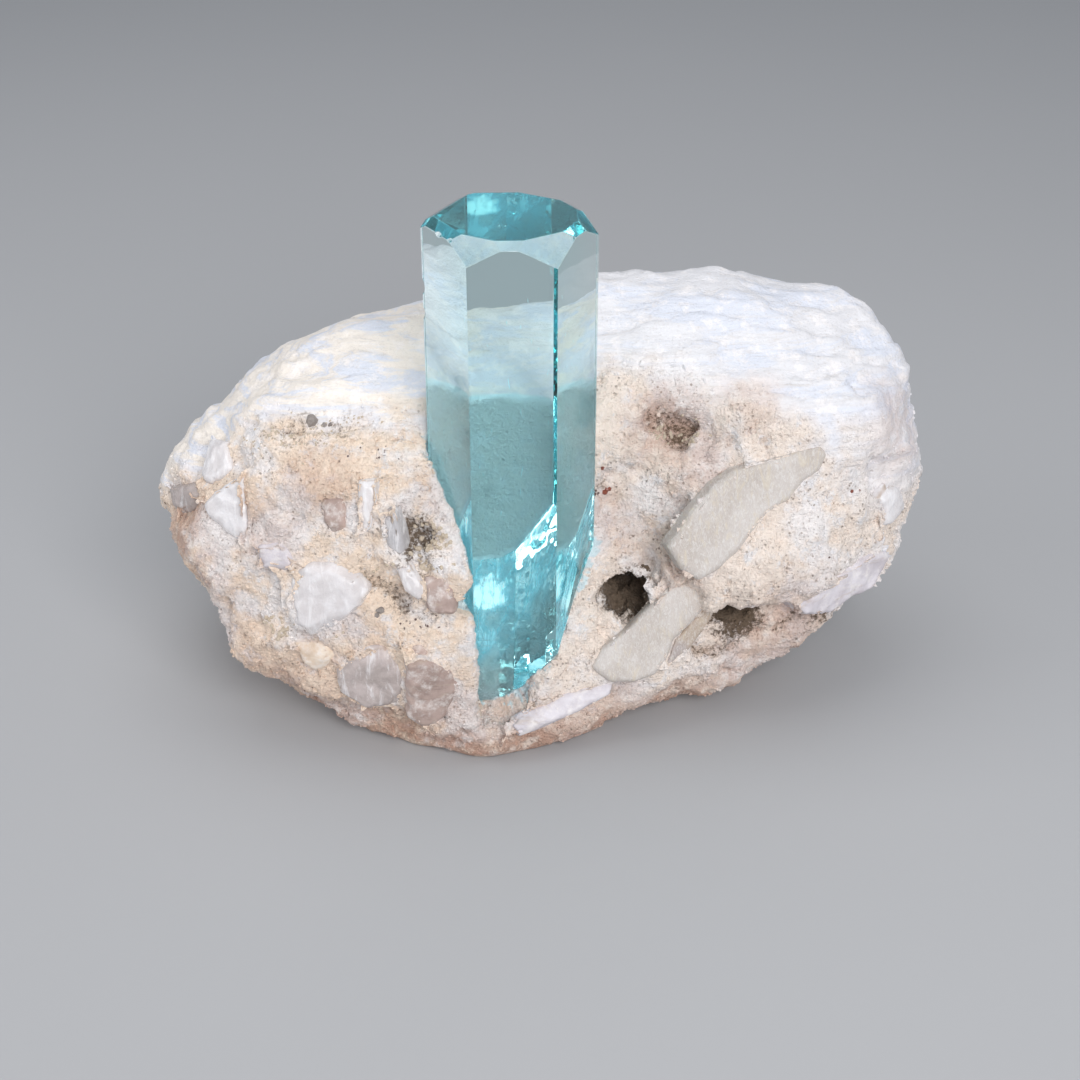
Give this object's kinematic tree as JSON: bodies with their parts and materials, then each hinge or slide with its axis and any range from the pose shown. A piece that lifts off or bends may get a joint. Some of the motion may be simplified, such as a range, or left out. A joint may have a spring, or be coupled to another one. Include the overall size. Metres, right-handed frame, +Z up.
{
  "type": "aquamarine crystal on matrix",
  "caption": "Clear blue-green hexagonal aquamarine prism with a bevelled flat top, standing in a broken lump of granular white rock set with feldspar blades and quartz.",
  "frame": {"origin": "on the sawn flat base of the rock, below the middle of its length", "axes": "+X to the right along the rock's length, +Y away from the face the crystal stands in, +Z up along the crystal"},
  "size_m": [0.1017, 0.0592, 0.069],
  "materials": {
    "aquamarine": "polished clear blue-green beryl",
    "albite": "rough sugary granular rock",
    "blade": "satin beige feldspar blade",
    "shaded_blade": "dull grey-brown feldspar blade",
    "lilac_feldspar": "satin pale lilac feldspar",
    "quartz": "milky white quartz, glossy fracture",
    "grey_quartz": "grey translucent quartz, glossy fracture",
    "pink_feldspar": "satin pinkish feldspar",
    "tan_feldspar": "satin yellow-tan feldspar"
  },
  "bodies": {
    "root": {"aquamarine": "aquamarine", "matrix": "albite", "upper_blade": "blade", "lower_blade": "blade", "rear_blade": "shaded_blade", "foot_blade": "lilac_feldspar", "ledge_plate": "lilac_feldspar", "lilac_block": "lilac_feldspar", "quartz_lens": "quartz", "quartz_block": "quartz", "left_plate": "quartz", "end_quartz": "grey_quartz", "corner_plate": "quartz", "white_tab": "quartz", "white_wedge": "quartz", "right_panel": "quartz", "grey_tab": "grey_quartz", "feldspar_block": "pink_feldspar", "pink_feldspar": "pink_feldspar", "pink_wedge": "pink_feldspar", "tan_block": "tan_feldspar"}
  },
  "joints": []
}
